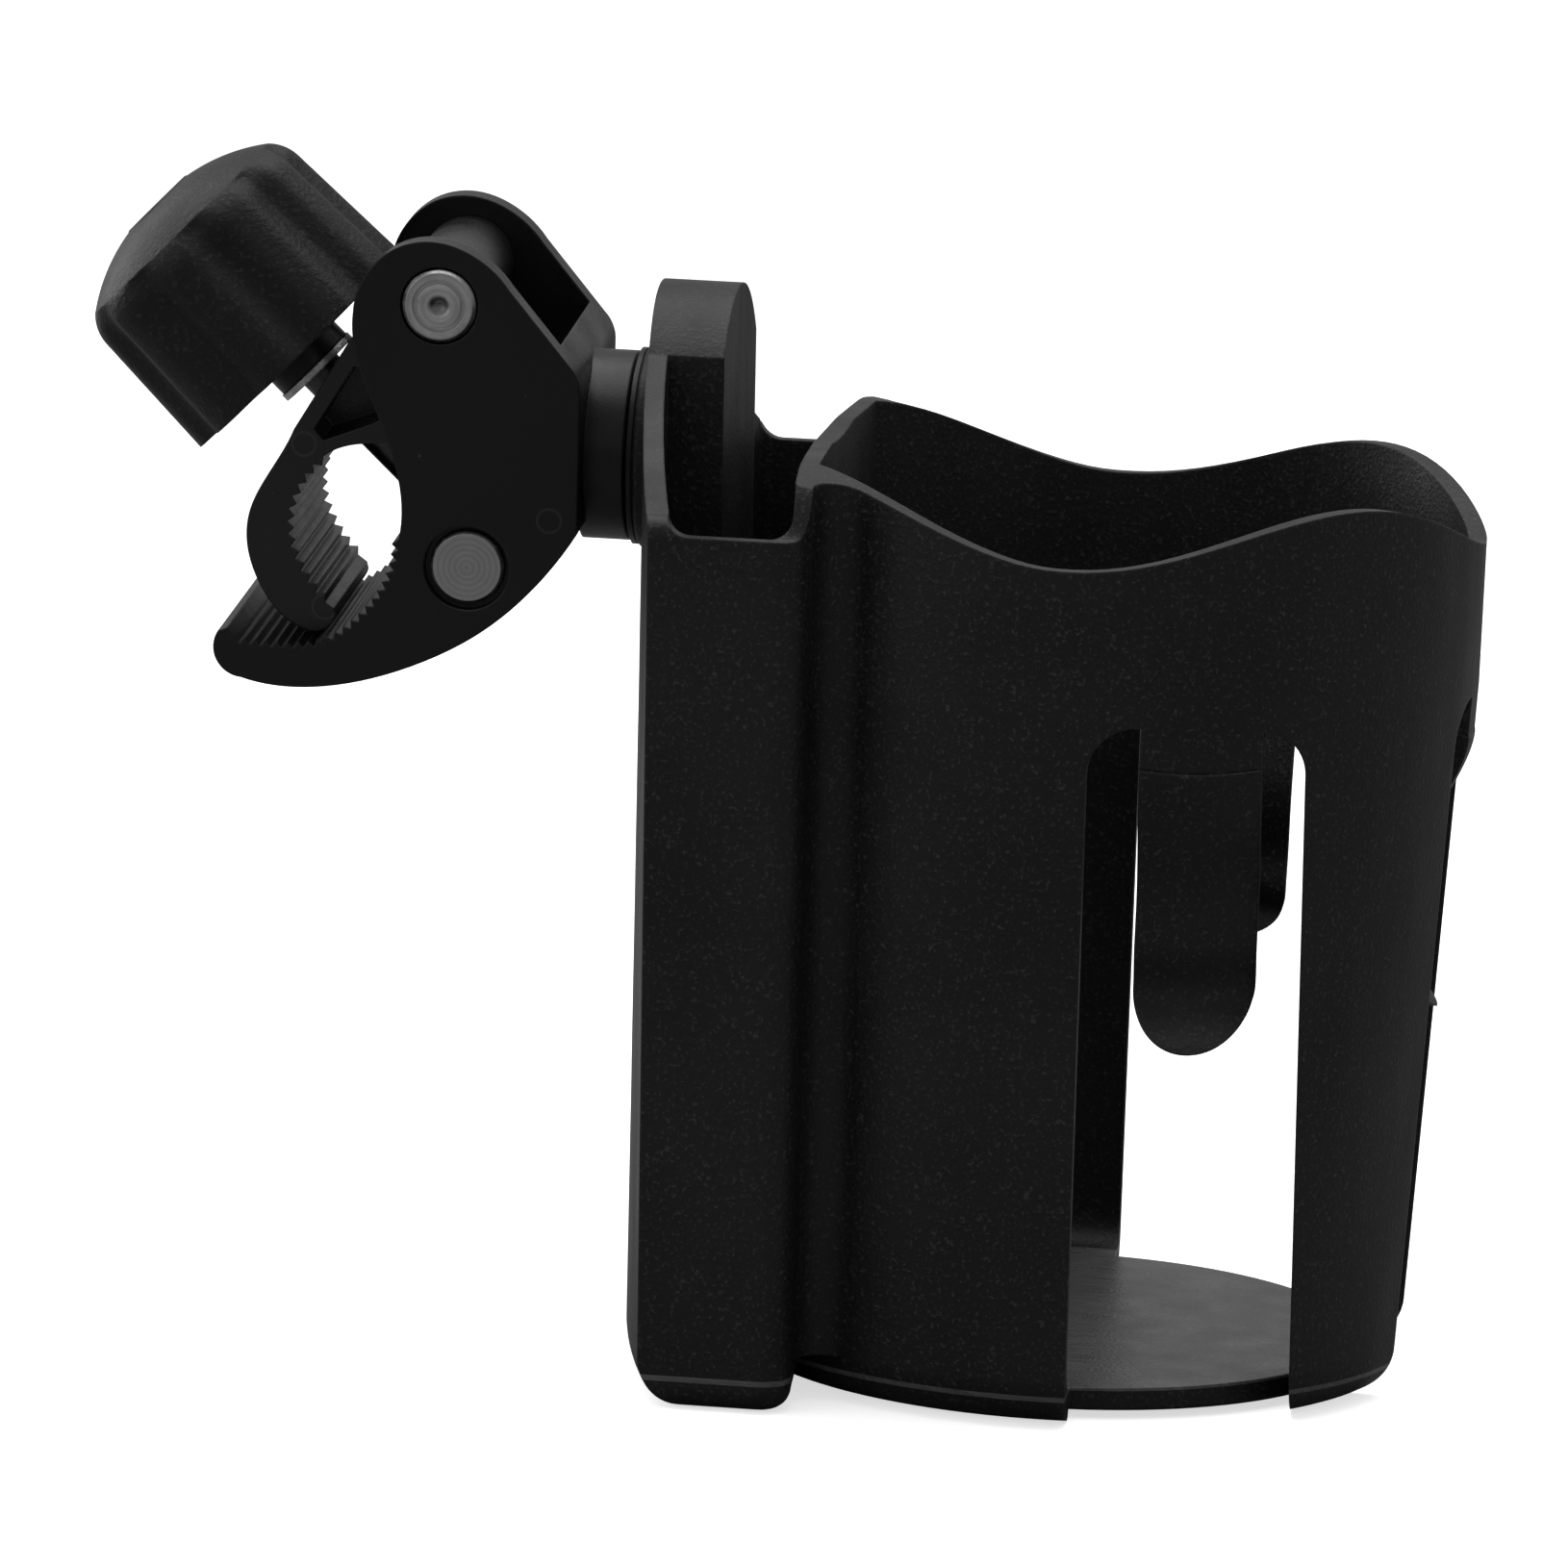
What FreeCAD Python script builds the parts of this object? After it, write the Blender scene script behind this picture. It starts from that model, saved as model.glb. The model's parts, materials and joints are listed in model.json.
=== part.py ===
import FreeCAD, Part
import math
import os

from FreeCAD import Vector

# ---------------------------------------------------------------- dimensions
# Millimetres.  X runs from the clamp to the cup, Y from front to back, Z up.
# Everything is drawn on the cup's axis with heights from the level it stands on.
# The finished parts are then lowered, so the origin is at the top of the cup's floor.

# cup
CUP_R_TOP = 42.0            # outer radius of the upper, straight part
CUP_R_BASE = 38.85          # outer radius at the foot
STRAIGHT_FROM_Z = 77.0      # the wall is straight above and tapered below
WALL = 2.0
FLOOR_TOP = 3.25
FLOOR_UNDER = 1.5           # underside of the floor inside the foot ring
FOOT_FILLET = 5.0
FLOOR_EDGE_R = 32.5         # floor radius where the slots open its edge
RIM_MEAN_Z = 95.7
RIM_WAVE = 3.2              # the rim rises and falls by this, four times a turn

# pocket: its clamp side and the wall it shares with the cup are both bowed
POCKET_RIM = 94.0
BLANK_TOP = 118.0
RIM_CLAMP_X = -48.7         # middle of the clamp side at the rim, and at the foot
FOOT_CLAMP_X = -47.35
RIM_CLAMP_BOW = 4.5         # how far its ends curve back towards the cup
FOOT_CLAMP_BOW = 5.2
RIM_CUP_X = -28.6           # middle of the cup side at the rim, and at the foot
FOOT_CUP_X = -27.3
CUP_SIDE_BOW = 1.5
RIM_HALF_Y = 43.0
FOOT_HALF_Y = 40.4
POCKET_CORNER = 3.5
POCKET_FOOT_FILLET = 2.3    # front, rear and cup side of the foot
POCKET_FOOT_ROUND = 5.5     # clamp side of the foot
VALLEY_R = 3.5              # hollow between the cup and the pocket
DIVIDER_TOP = 100.6

# mounting block for the swivel, the arched top of the clamp side
BLOCK_CUP_X = -40.4
BLOCK_HALF_Y = 14.5
BLOCK_FOOT_Z = 80.0
BLOCK_SHOULDER_Z = 109.6
BLOCK_TOP_Z = 116.2
SWIVEL_Z = 97.8             # height of the swivel axis, which lies along X
BOSS_R = 11.1
BOSS_X = -50.4
SWIVEL_NUT_X = (-43.4, -40.8)

# slots and grip tongues
SLOT_TOP = 76.3
SLOT_CORNER = 5.3
SIDE_SLOT_HALF = (11.7, 12.3)          # half width at the top and at the foot
FRONT_SLOT_X = (2.7, 25.2, 26.7, 3.4)  # top left, top right, foot right, foot left
TONGUE_HALF = 6.3
TONGUE_TIP_Z = 41.0
TONGUE_HINGE_Z = 70.5
TONGUE_INSET = 5.0
TONGUE_THICK = 1.9
HINGE_R = 1.6
GAP = 0.06                  # running clearance, radial
FRONT_TONGUE_X = 14.5

# clamp, drawn upright: x as above, z measured from the swivel axis
CLAMP_TILT = 6.0            # degrees about the swivel axis
CHEEK_HALF = 14.0
CAVITY_HALF = 11.2
JAW_HALF = 10.9
PIVOT = (-71.2, 17.5)       # jaw pivot
NUT = (-67.7, -11.4)        # barrel nut
PIN_R = 2.5
PIN_HEAD_R = 4.0
HUB_R = 4.65
NUT_R = 4.0
NECK_R = 10.4
NECK_END_X = -51.05
REAR_WALL_X = -58.3

# screw, measured from the barrel nut's centre outwards along the screw
SCREW_ANGLE = 136.2         # degrees from +x towards +z
SCREW_R = 2.5
SCREW_TIP = -4.7
WASHER_AT = 26.4
WASHER_R = 5.0
WASHER_THICK = 0.8
COLLAR_R = 4.8
KNOB_FACE = 29.1
SHOULDER_Z = 15.0           # where the shoulder's rounding starts, from the knob's face
SHOULDER_R = 4.8
KNOB_R = 15.35
KNOB_LOBES = 10
KNOB_GROOVE = 1.35          # depth of the grooves between the lobes
KNOB_PHASE = 92.0           # degrees about the screw, where the first lobe stands
CAP_R = 4.6
CAP_PROUD = 0.3
HEX_M5 = 8.0
HEX_M5_HIGH = 3.5

JAW_TEETH = 13
HOOK_TEETH = 21
TOOTH = 0.75

OUT = "parts"


# ------------------------------------------------------------------- helpers
def v2(point):
    """A point of the upright clamp drawing, in its middle plane."""
    return Vector(point[0], 0, point[1])


def prism_y(edges, half_low, half_high):
    """Closed outline in the XZ plane, extruded along Y between two values."""
    face = Part.Face(Part.Wire(edges))
    face.translate(Vector(0, half_low, 0))
    return face.extrude(Vector(0, half_high - half_low, 0))


def polygon_edges(points):
    """Straight edges through points of the XZ plane, closed."""
    closed = [v2(p) for p in points] + [v2(points[0])]
    return [Part.makeLine(a, b) for a, b in zip(closed[:-1], closed[1:])]


def spline_edge(points):
    """One smooth edge through points of the XZ plane."""
    curve = Part.BSplineCurve()
    curve.interpolate([v2(p) for p in points])
    return curve.toShape()


def cylinder_between(start, end, radius):
    """Cylinder from one point to another."""
    direction = end - start
    return Part.makeCylinder(radius, direction.Length, start, direction)


def hexagon_prism(centre, direction, flat_to_flat, length, sideways):
    """Hexagonal prism from centre along direction, one flat facing sideways."""
    across = Vector(direction).normalize()
    side = Vector(sideways).normalize()
    other = across.cross(side)
    corner = flat_to_flat / math.sqrt(3.0)
    points = []
    for step in range(6):
        angle = math.radians(30 + 60 * step)
        spoke = side * math.cos(angle) + other * math.sin(angle)
        points.append(centre + spoke * corner)
    wire = Part.makePolygon(points + [points[0]])
    return Part.Face(wire).extrude(across * length)


def prism_x(edges, low, high):
    """Closed outline in the YZ plane, extruded along X between two values."""
    face = Part.Face(Part.Wire(Part.__sortEdges__(edges)))
    face.translate(Vector(low, 0, 0))
    return face.extrude(Vector(high - low, 0, 0))


def lines_through(points):
    """Straight edges from each point to the next."""
    return [Part.makeLine(a, b) for a, b in zip(points[:-1], points[1:])]


def wall_radius(z):
    """Outer radius of the cup at a height."""
    if z >= STRAIGHT_FROM_Z:
        return CUP_R_TOP
    return CUP_R_BASE + (CUP_R_TOP - CUP_R_BASE) * z / STRAIGHT_FROM_Z


def cup_blank(inset, foot_z, fillet):
    """Solid of the cup's outside, or of its inside when inset is the wall."""
    slope = (CUP_R_TOP - CUP_R_BASE) / STRAIGHT_FROM_Z
    radius_foot = wall_radius(foot_z) - inset
    start = Vector(radius_foot - fillet, 0, foot_z)
    end = Vector(radius_foot + slope * fillet, 0, foot_z + fillet)
    turn = math.radians(46)
    middle = start + Vector(fillet * math.sin(turn), 0, fillet * (1 - math.cos(turn)))
    rest = [
        end,
        Vector(CUP_R_TOP - inset, 0, STRAIGHT_FROM_Z),
        Vector(CUP_R_TOP - inset, 0, BLANK_TOP),
        Vector(0, 0, BLANK_TOP),
        Vector(0, 0, foot_z),
        start,
    ]
    edges = [Part.Arc(start, middle, end).toShape()] + lines_through(rest)
    return Part.Face(Part.Wire(edges)).revolve(Vector(0, 0, 0), Vector(0, 0, 1), 360)


def rim_height(angle):
    """Height of the wavy rim at an angle from +X, in degrees."""
    if abs(angle) > 135.0:
        return DIVIDER_TOP
    height = RIM_MEAN_Z - RIM_WAVE * math.cos(math.radians(4 * angle))
    beyond = max(0.0, (abs(angle) - 96.0) / 39.0)
    return height + beyond * (DIVIDER_TOP - RIM_MEAN_Z - RIM_WAVE)


def rim_cutter():
    """Block with a wavy underside that cuts the cup's blank down to its rim."""
    half = 56.0
    steps = 32
    grid = []
    for column in range(steps + 1):
        x = -half + 2 * half * column / steps
        row = []
        for line in range(steps + 1):
            y = -half + 2 * half * line / steps
            angle = math.degrees(math.atan2(y, x))
            inner = min(1.0, (math.hypot(x, y) / 30.0) ** 2)
            row.append(Vector(x, y, RIM_MEAN_Z + (rim_height(angle) - RIM_MEAN_Z) * inner))
        grid.append(row)
    surface = Part.BSplineSurface()
    surface.interpolate(grid)
    return surface.toShape().extrude(Vector(0, 0, 40))


def only_solid(shape):
    """The single solid of a boolean result."""
    return shape.Solids[0]


# -------------------------------------------------------------------- holder
def pocket_line(z):
    """Clamp side, its bow, cup side and half width of the pocket at a height."""
    share = z / POCKET_RIM
    clamp = FOOT_CLAMP_X + (RIM_CLAMP_X - FOOT_CLAMP_X) * share
    bow = FOOT_CLAMP_BOW + (RIM_CLAMP_BOW - FOOT_CLAMP_BOW) * share
    cup = FOOT_CUP_X + (RIM_CUP_X - FOOT_CUP_X) * share
    half = FOOT_HALF_Y + (RIM_HALF_Y - FOOT_HALF_Y) * share
    return clamp, bow, cup, half


def pocket_outline(z, inset):
    """Closed outline of the pocket at a height, with two bowed sides."""
    clamp, bow, cup, half = pocket_line(z)
    clamp += inset
    cup -= inset
    half -= inset
    clamp_front = Vector(clamp + bow, -half, z)
    clamp_rear = Vector(clamp + bow, half, z)
    cup_front = Vector(cup + CUP_SIDE_BOW, -half, z)
    cup_rear = Vector(cup + CUP_SIDE_BOW, half, z)
    return Part.Wire([
        Part.Arc(clamp_front, Vector(clamp, 0, z), clamp_rear).toShape(),
        Part.makeLine(clamp_rear, cup_rear),
        Part.Arc(cup_rear, Vector(cup, 0, z), cup_front).toShape(),
        Part.makeLine(cup_front, clamp_front),
    ])


def corner_edges(shape, clamp_side):
    """Upright corner edges of the pocket on its clamp side or its cup side."""
    found = []
    for edge in shape.Edges:
        box = edge.BoundBox
        upright = box.ZLength > 20 and box.YLength < 6 and abs(box.Center.y) > 30
        if upright and (box.Center.x < -38) == clamp_side:
            found.append(edge)
    return found


def pocket_blank(inset, foot_z, cup_corner):
    """Tall solid of the pocket's outside, or of its inside when inset is the wall."""
    sections = [pocket_outline(foot_z, inset), pocket_outline(BLANK_TOP, inset)]
    blank = Part.makeLoft(sections, True, True)
    return blank.makeFillet(cup_corner, corner_edges(blank, False))


def foot_corner():
    """Waste outside the rounded corner that follows the clamp side of the foot."""
    r = POCKET_FOOT_ROUND
    left, bow, _, half = pocket_line(r)
    axis = Vector(left + (half ** 2 + bow ** 2) / (2 * bow), 0, 0)
    k = r * (1 - math.sqrt(0.5))
    start = Vector(left, 0, r)
    end = Vector(left + r, 0, 0)
    below = [end, Vector(left + r, 0, -3), Vector(left - 3, 0, -3), Vector(left - 3, 0, r), start]
    edges = [Part.Arc(start, Vector(left + k, 0, k), end).toShape()] + lines_through(below)
    face = Part.Face(Part.Wire(edges))
    face.rotate(axis, Vector(0, 0, 1), -20)
    return face.revolve(axis, Vector(0, 0, 1), 40)


def make_pocket():
    """Outside and inside of the pocket, both standing taller than its rim."""
    outer = pocket_blank(0.0, 0.0, POCKET_CORNER)
    foot_edges = [e for e in outer.Edges if e.BoundBox.ZMax < 1e-6 and e.BoundBox.XMax > -38]
    outer = outer.makeFillet(POCKET_FOOT_FILLET, foot_edges)
    outer = only_solid(outer.cut(foot_corner()))
    inner = pocket_blank(WALL, FLOOR_TOP, 2.0)
    inner = inner.makeFillet(1.6, corner_edges(inner, True))
    return outer, inner


def join_with_valleys(cup, pocket):
    """Cup and pocket in one, the hollows between them rounded above the foot."""
    foot = Part.makeBox(200, 200, 20, Vector(-100, -100, FOOT_FILLET - 20))
    upper = cup.cut(foot).fuse(pocket.cut(foot)).removeSplitter()
    meeting = []
    for edge in upper.Edges:
        box = edge.BoundBox
        if box.ZLength > 10 and box.XMin > -29.5 and box.XMax < -24 and 24 < abs(box.Center.y) < 38:
            meeting.append(edge)
    upper = upper.makeFillet(VALLEY_R, meeting)
    lower = cup.common(foot).fuse(pocket.common(foot))
    return only_solid(upper.fuse(lower).removeSplitter())


def clamp_side_rim():
    """Region under the rim of the clamp side: corner rises, slopes and the arch."""
    def at(y, z):
        return Vector(0, y, z)

    shoulders = [at(side * BLOCK_HALF_Y, BLOCK_SHOULDER_Z) for side in (-1, 1)]
    edges = [Part.Arc(shoulders[0], at(0, BLOCK_TOP_Z), shoulders[1]).toShape()]
    for side, shoulder in zip((-1, 1), shoulders):
        end = at(side * RIM_HALF_Y, POCKET_RIM)
        risen = end + at(-side * 2.0, 2.0)
        edges.append(Part.Arc(end, end + at(-side * 0.55, 1.3), risen).toShape())
        edges.append(Part.makeLine(risen, shoulder))
        edges.append(Part.makeLine(end, end - at(0, 10)))
    edges.append(Part.makeLine(at(-RIM_HALF_Y, POCKET_RIM - 10), at(RIM_HALF_Y, POCKET_RIM - 10)))
    across = prism_x(edges, -60, -34)
    arch = Part.makeBox(30, 2 * BLOCK_HALF_Y, 60, Vector(-64, -BLOCK_HALF_Y, 70))
    return across.common(rise_from_front(-39.9, -1, 60).fuse(arch))


def rise_from_front(foot_x, side, half_y):
    """Region on one side of a hollow corner that rises from the pocket's rim."""
    r = 2.5
    k = r * math.sqrt(0.5)
    foot = Vector(foot_x, 0, POCKET_RIM)
    top = Vector(foot_x + side * r, 0, POCKET_RIM + r)
    middle = Vector(foot_x + side * k, 0, POCKET_RIM + r - k)
    far = foot_x + side * 30
    high = BLANK_TOP + 2
    low = POCKET_RIM - 10
    rest = [top, Vector(top.x, 0, high), Vector(far, 0, high), Vector(far, 0, low)]
    rest += [Vector(foot_x, 0, low), foot]
    edges = [Part.Arc(foot, middle, top).toShape()] + lines_through(rest)
    return prism_y(edges, -half_y, half_y)


def cup_side_rim():
    """Region under the rim of the cup and of the wall it shares with the pocket."""
    start, end = (-42.7, POCKET_RIM), (-36.0, DIVIDER_TOP + 0.6)
    sweep = Part.BezierCurve()
    sweep.setPoles([Vector(0, y, z) for y, z in (start, (-40.3, POCKET_RIM), (-41.3, DIVIDER_TOP), end)])
    front = sweep.toShape()
    rear = front.mirror(Vector(0, 0, 0), Vector(0, 1, 0))
    edges = [front, rear]
    for corner, z in ((start, 80.0), (end, BLANK_TOP + 2)):
        run = [(corner[0], corner[1]), (corner[0], z), (-corner[0], z), (-corner[0], corner[1])]
        edges += lines_through([Vector(0, y, height) for y, height in run])
    across = prism_x(edges, -36, -23)
    ends = across.common(rise_from_front(-31.7, 1, 60))
    middle = across.common(Part.makeBox(13, 77.6, 60, Vector(-36, -38.8, 70)))
    beyond = Part.makeBox(80, 120, 60, Vector(-23, -60, 70))
    return ends.fuse([middle, beyond]).cut(rim_cutter())


def make_slot_tool(corners):
    """Slot with rounded upper corners and an open foot, cut from the front."""
    top_left, top_right, foot_right, foot_left = corners
    r = SLOT_CORNER
    k = r * (1 - math.sqrt(0.5))
    left_top = Vector(top_left, 0, SLOT_TOP - r)
    right_top = Vector(top_right, 0, SLOT_TOP - r)
    arc_left = Part.Arc(left_top, Vector(top_left + k, 0, SLOT_TOP - k),
                        Vector(top_left + r, 0, SLOT_TOP))
    arc_right = Part.Arc(Vector(top_right - r, 0, SLOT_TOP), Vector(top_right - k, 0, SLOT_TOP - k),
                         right_top)
    foot = -2.0
    edges = [
        arc_left.toShape(),
        Part.makeLine(Vector(top_left + r, 0, SLOT_TOP), Vector(top_right - r, 0, SLOT_TOP)),
        arc_right.toShape(),
        Part.makeLine(right_top, Vector(foot_right, 0, foot)),
        Part.makeLine(Vector(foot_right, 0, foot), Vector(foot_left, 0, foot)),
        Part.makeLine(Vector(foot_left, 0, foot), left_top),
    ]
    tool = Part.Face(Part.Wire(edges)).extrude(Vector(0, -60, 0))
    keep_floor = Part.makeCylinder(FLOOR_EDGE_R, 40, Vector(0, 0, -10))
    return tool.cut(keep_floor)


def slot_tools():
    """Cutters for the three slots, each leaving the root of its tongue."""
    front_root = tongue_root(FRONT_TONGUE_X)
    front = make_slot_tool(FRONT_SLOT_X).cut(front_root)
    rear = front.mirror(Vector(0, 0, 0), Vector(0, 1, 0))
    side_half_top, side_half_foot = SIDE_SLOT_HALF
    side = make_slot_tool((-side_half_top, side_half_top, side_half_foot, -side_half_foot))
    side = side.cut(tongue_root(0.0))
    side.rotate(Vector(0, 0, 0), Vector(0, 0, 1), 90)
    return front, rear, side


def hinge_bead(centre_x, radius):
    """Round bead about a tongue's hinge line, tangent to the wall."""
    reach = wall_radius(TONGUE_HINGE_Z)
    middle_y = -math.sqrt(reach ** 2 - centre_x ** 2)
    out = Vector(centre_x, middle_y, 0).normalize()
    point = out * (reach - 0.5 * WALL - 0.25) + Vector(0, 0, TONGUE_HINGE_Z)
    tangent = Vector(-out.y, out.x, 0)
    return Part.makeCylinder(radius, 40, point - tangent * 20, tangent)


def tongue_root(centre_x):
    """Piece of wall kept above the hinge line, where the tongue is moulded on."""
    width = 2 * TONGUE_HALF
    corner = Vector(centre_x - TONGUE_HALF, -60, TONGUE_HINGE_Z)
    root = Part.makeBox(width, 40, SLOT_TOP + 3 - TONGUE_HINGE_Z, corner)
    return root.cut(hinge_bead(centre_x, HINGE_R + GAP))


def tongue_inset(z):
    """How far the tongue stands inside the wall at a height."""
    bend = max(0.0, min(1.0, (TONGUE_HINGE_Z - z) / 13.0))
    return TONGUE_INSET * (0.5 * bend + 0.5 * (3 * bend ** 2 - 2 * bend ** 3))


def tongue_section(centre_x, z):
    """Outline of the tongue at a height: a slice of the wall moved inwards."""
    outer = wall_radius(z)
    inner = outer - TONGUE_THICK
    low, high = centre_x - TONGUE_HALF, centre_x + TONGUE_HALF
    shift = tongue_inset(z)

    def on_circle(radius, x):
        return Vector(x, -math.sqrt(radius ** 2 - x ** 2) + shift, z)

    edges = [
        Part.Arc(on_circle(outer, low), on_circle(outer, centre_x), on_circle(outer, high)).toShape(),
        Part.makeLine(on_circle(outer, high), on_circle(inner, high)),
        Part.Arc(on_circle(inner, high), on_circle(inner, centre_x), on_circle(inner, low)).toShape(),
        Part.makeLine(on_circle(inner, low), on_circle(outer, low)),
    ]
    return Part.Wire(edges)


def make_tongue(centre_x):
    """Finger hanging from the hinge line, drawn for the front of the cup."""
    heights = (39.0, 45.0, 51.0, 56.0, 59.0, 62.0, 65.0, 68.0, TONGUE_HINGE_Z, 73.0)
    blank = Part.makeLoft([tongue_section(centre_x, z) for z in heights], True)
    half = TONGUE_HALF + 1.0
    middle_z = TONGUE_TIP_Z + TONGUE_HALF
    upper = Part.makeBox(2 * half, 60, TONGUE_HINGE_Z - middle_z, Vector(centre_x - half, -60, middle_z))
    tip = Part.makeCylinder(TONGUE_HALF, 60, Vector(centre_x, -60, middle_z), Vector(0, 1, 0))
    outline = upper.fuse([tip, hinge_bead(centre_x, HINGE_R)])
    return only_solid(blank.common(outline))


def make_tongues():
    front = make_tongue(FRONT_TONGUE_X)
    side = make_tongue(0.0)
    side.rotate(Vector(0, 0, 0), Vector(0, 0, 1), 90)
    rear = front.mirror(Vector(0, 0, 0), Vector(0, 1, 0))
    return {"grip_tongue_front": front, "grip_tongue_rear": rear, "grip_tongue_side": side}


def make_block(outer):
    """Mounting block, standing inside the arched part of the clamp side."""
    low = BLOCK_FOOT_Z
    lean = 0.8
    edges = polygon_edges([(-56, low), (BLOCK_CUP_X + lean, low), (BLOCK_CUP_X, BLANK_TOP), (-56, BLANK_TOP)])
    return outer.common(prism_y(edges, -BLOCK_HALF_Y, BLOCK_HALF_Y))


def make_holder():
    pocket, pocket_inside = make_pocket()
    outside = join_with_valleys(cup_blank(0.0, 0.0, FOOT_FILLET), pocket)
    inside = only_solid(cup_blank(WALL, FLOOR_TOP, 4.0).cut(pocket))
    walls = outside.cut(inside).cut(pocket_inside).fuse(make_block(pocket))
    below = Part.makeBox(140, 120, 90, Vector(-70, -60, -10))
    pocket_rim = Part.makeBox(44, 120, POCKET_RIM - 70, Vector(-70, -60, 70))
    body = walls.common(below.fuse([pocket_rim, clamp_side_rim(), cup_side_rim()]))
    boss = Part.makeCylinder(BOSS_R, RIM_CLAMP_X + 1 - BOSS_X, Vector(BOSS_X, 0, SWIVEL_Z), Vector(1, 0, 0))
    boss = boss.makeChamfer(0.4, [e for e in boss.Edges if e.BoundBox.XMax < BOSS_X + 1e-3])
    body = body.fuse(boss)

    recess = Part.makeCone(CUP_R_BASE - 5.5, CUP_R_BASE - 7.0, FLOOR_UNDER, Vector(0, 0, 0))
    recess = recess.cut(Part.makeBox(60, 120, 20, Vector(FOOT_CUP_X + 3.5 - 60, -60, -5)))
    body = body.cut(recess)

    bolt_hole = Part.makeCylinder(SCREW_R + GAP, SWIVEL_NUT_X[1] - BOSS_X + 1.05,
                                  Vector(BOSS_X - 1, 0, SWIVEL_Z), Vector(1, 0, 0))
    nut_half = 0.5 * HEX_M5 + 0.05
    nut_top = SWIVEL_Z + HEX_M5 / math.sqrt(3.0) + 0.1
    nut_width = SWIVEL_NUT_X[1] - SWIVEL_NUT_X[0] + 0.1
    nut_foot = BLOCK_FOOT_Z - 1.0
    nut_slot = Part.makeBox(nut_width, 2 * nut_half, nut_top - nut_foot,
                            Vector(SWIVEL_NUT_X[0] - 0.05, -nut_half, nut_foot))
    body = body.cut(bolt_hole).cut(nut_slot)

    for tool in slot_tools():
        body = body.cut(tool)
    return only_solid(body.removeSplitter())


# --------------------------------------------------------------------- clamp
def place(shape):
    """Move a shape from the upright clamp drawing to its place, tilted."""
    moved = shape.copy()
    moved.translate(Vector(0, 0, SWIVEL_Z))
    moved.rotate(Vector(0, 0, SWIVEL_Z), Vector(1, 0, 0), CLAMP_TILT)
    return moved


def along_screw(distance, offset=0.0):
    """Point of the upright drawing at a distance from the nut along the screw."""
    turn = math.radians(SCREW_ANGLE)
    out = (math.cos(turn), math.sin(turn))
    side = (-out[1], out[0])
    return (NUT[0] + out[0] * distance + side[0] * offset, NUT[1] + out[1] * distance + side[1] * offset)


def arc_point(centre, radius, degrees):
    turn = math.radians(degrees)
    return (centre[0] + radius * math.cos(turn), centre[1] + radius * math.sin(turn))


def toothed_run(points, teeth, depth, flip):
    """Zigzag between points of a smooth run, teeth standing to one side."""
    curve = Part.BSplineCurve()
    curve.interpolate([v2(p) for p in points])
    first, last = curve.FirstParameter, curve.LastParameter
    run = [points[0]]
    for step in range(2 * teeth + 1):
        at = first + (last - first) * step / (2 * teeth)
        position = curve.value(at)
        tangent = curve.tangent(at)[0]
        normal = Vector(-tangent.z, 0, tangent.x) * (flip * depth * (step % 2))
        tip = position + normal
        run.append((tip.x, tip.z))
    return run[1:]


def hook_inner_line():
    """Toothed holding surface of the hook, from its tip to the cheeks."""
    return [(-92.6, -21.3), (-88.2, -21.5), (-83.4, -20.9), (-79.2, -17.9), (-76.5, -14.2), (-75.2, -8.6)]


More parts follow.
